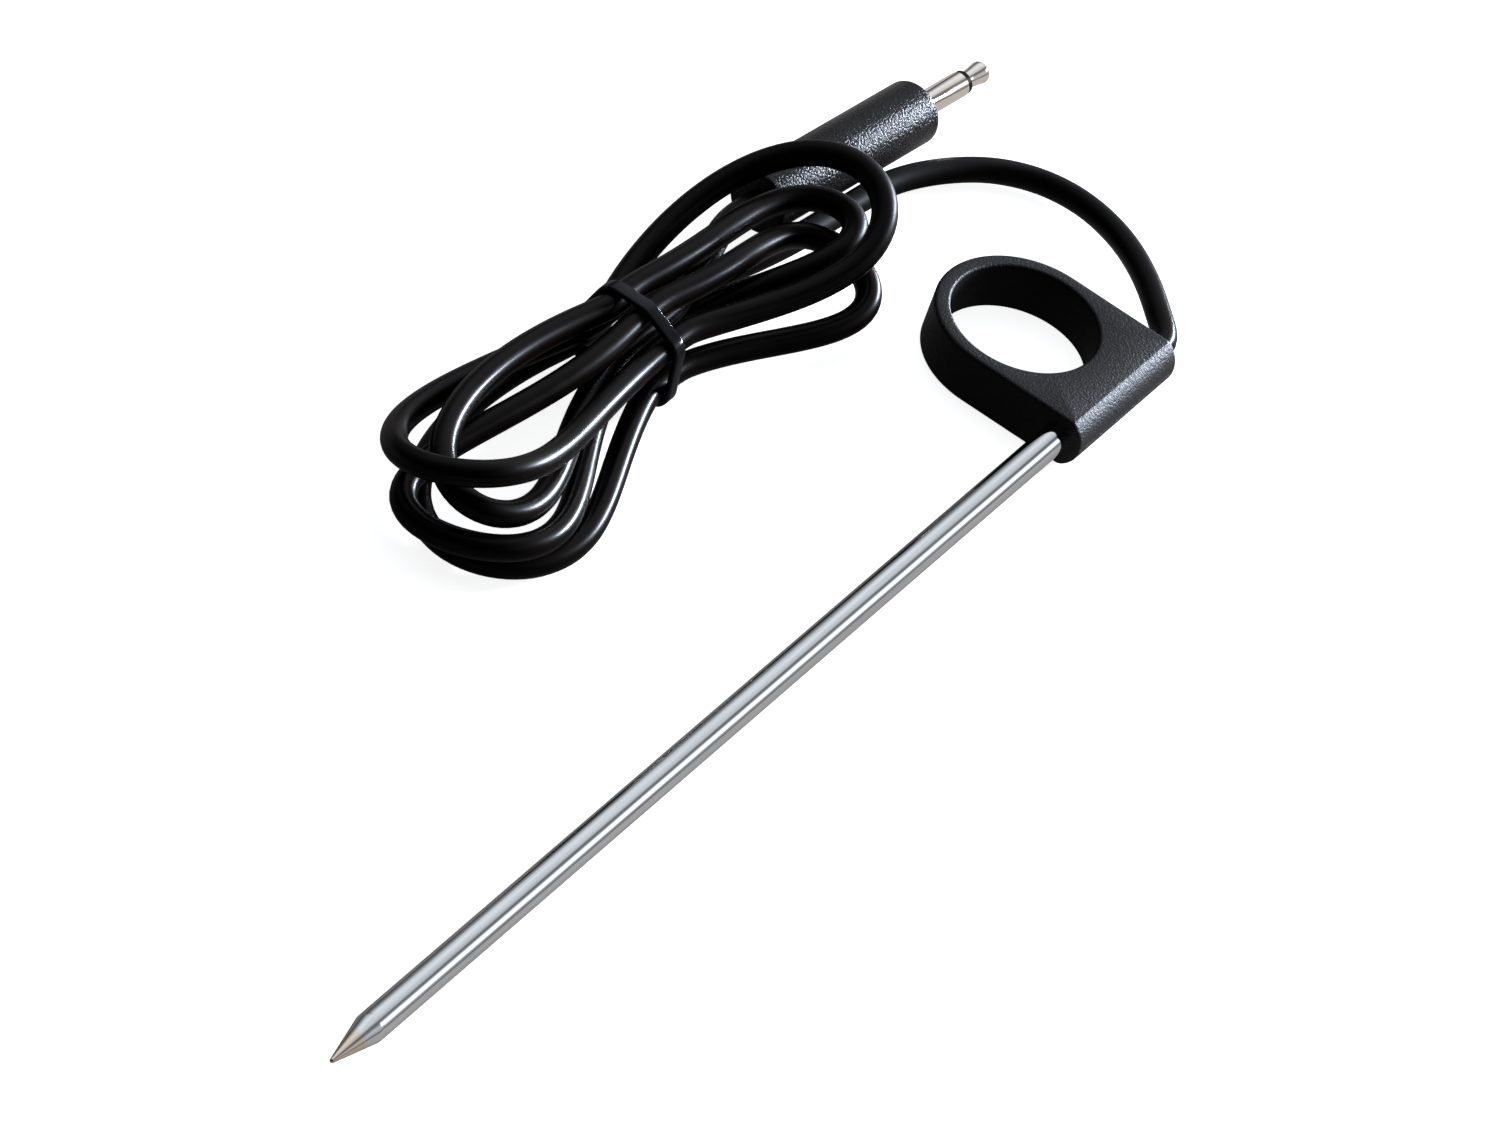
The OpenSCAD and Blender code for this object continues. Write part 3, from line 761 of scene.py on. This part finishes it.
def makeFloor():
    bm = bmesh.new()
    s, z = studio["floorSize"] / 2, -studio["floorDrop"]
    corners = [bm.verts.new((x, y, z)) for x, y in ((-s, -s), (s, -s), (s, s), (-s, s))]
    bm.faces.new(corners)
    mesh = bpy.data.meshes.new("floor")
    bm.to_mesh(mesh)
    bm.free()
    floor = bpy.data.objects.new("floor", mesh)
    bpy.context.scene.collection.objects.link(floor)
    mat, nodes, links, bsdf = newMaterial("floorWhite")
    bsdf.inputs["Roughness"].default_value = studio["floorRough"]
    bsdf.inputs["Specular IOR Level"].default_value = 0
    rays, seen = whiteForCamera(nodes, links)
    colour = addNode(nodes, "ShaderNodeMix", data_type="RGBA")
    links.new(seen, colour.inputs["Factor"])
    colour.inputs[6].default_value = (*studio["floorBounce"], 1)
    colour.inputs[7].default_value = (*studio["floorColour"], 1)
    links.new(colour.outputs[2], bsdf.inputs["Base Color"])
    axes = objectAxes(nodes, links)
    near = smoothReach(nodes, links, axes["Y"], studio["sheenFrom"], studio["sheenTo"],
                       studio["darkSide"], studio["floorSheen"])
    beside = smoothReach(nodes, links, axes["X"], studio["plugFrom"], studio["plugTo"],
                         0, studio["plugSheen"])
    brighter = combine(nodes, links, "MAXIMUM", near, beside)
    mirrored = combine(nodes, links, "MULTIPLY", rays["Is Glossy Ray"], brighter)
    glow = addNode(nodes, "ShaderNodeMath", {1: studio["floorGlow"]}, operation="MULTIPLY")
    links.new(seen, glow.inputs[0])
    bsdf.inputs["Emission Color"].default_value = (1, 1, 1, 1)
    links.new(combine(nodes, links, "ADD", glow.outputs[0], mirrored), bsdf.inputs["Emission Strength"])
    mesh.materials.append(mat)


def mixColours(nodes, links, how, one, other):
    mix = addNode(nodes, "ShaderNodeMix", data_type="RGBA", blend_type=how)
    mix.inputs["Factor"].default_value = 1
    links.new(one, mix.inputs[6])
    links.new(other, mix.inputs[7])
    return mix.outputs[2]


# the three lights together; the camera itself sees plain white
def makeWorld():
    world = bpy.data.worlds.new("studioWorld")
    world.use_nodes = True
    bpy.context.scene.world = world
    nodes, links = world.node_tree.nodes, world.node_tree.links
    sky = nodes["Background"]
    sky.inputs["Strength"].default_value = studio["skyLevel"]
    way = addNode(nodes, "ShaderNodeTexCoord")
    split = addNode(nodes, "ShaderNodeSeparateXYZ")
    links.new(way.outputs["Generated"], split.inputs["Vector"])
    bearing = combine(nodes, links, "ARCTAN2", split.outputs["Y"], split.outputs["Z"])
    turn = addNode(nodes, "ShaderNodeMapRange", {"From Min": -math.pi, "From Max": math.pi})
    links.new(bearing, turn.inputs["Value"])
    along = addNode(nodes, "ShaderNodeMapRange", {"From Min": -1, "From Max": 1})
    links.new(split.outputs["X"], along.inputs["Value"])
    total = None
    for light in (skyLight, stripLight, lineLight):
        levels = [((d + 180) / 360, tuple(v * t for t in light["tint"])) for d, v in light["bands"]]
        shares = [((x + 1) / 2, grey(v)) for x, v in light["along"]]
        bands = ramp(nodes, links, turn.outputs["Result"], levels)
        away = ramp(nodes, links, along.outputs["Result"], shares)
        faded = mixColours(nodes, links, "MULTIPLY", bands.outputs["Color"], away.outputs["Color"])
        total = mixColours(nodes, links, "ADD", total, faded) if total else faded
    links.new(total, sky.inputs["Color"])
    white = addNode(nodes, "ShaderNodeBackground", {"Color": (1, 1, 1, 1), "Strength": 1})
    seen = whiteForCamera(nodes, links)[1]
    pick = addNode(nodes, "ShaderNodeMixShader")
    links.new(seen, pick.inputs[0])
    links.new(sky.outputs[0], pick.inputs[1])
    links.new(white.outputs[0], pick.inputs[2])
    links.new(pick.outputs[0], nodes["World Output"].inputs["Surface"])


# a weak lamp on the side of the strip
nearLamp = {"place": (0.82, -0.46, 0.24), "aim": (0.04, 0.01, 0.0), "size": (0.2, 0.16), "power": 0.06}


def makeLamp():
    data = bpy.data.lights.new("nearStrip", "AREA")
    data.shape = "RECTANGLE"
    data.size, data.size_y = nearLamp["size"]
    data.energy = nearLamp["power"]
    lamp = bpy.data.objects.new("nearStrip", data)
    place = Vector(nearLamp["place"])
    lamp.location = place
    lamp.rotation_euler = (Vector(nearLamp["aim"]) - place).to_track_quat("-Z", "Y").to_euler()
    bpy.context.scene.collection.objects.link(lamp)


makeFloor()
makeWorld()
makeLamp()


bpy.context.view_layer.update()
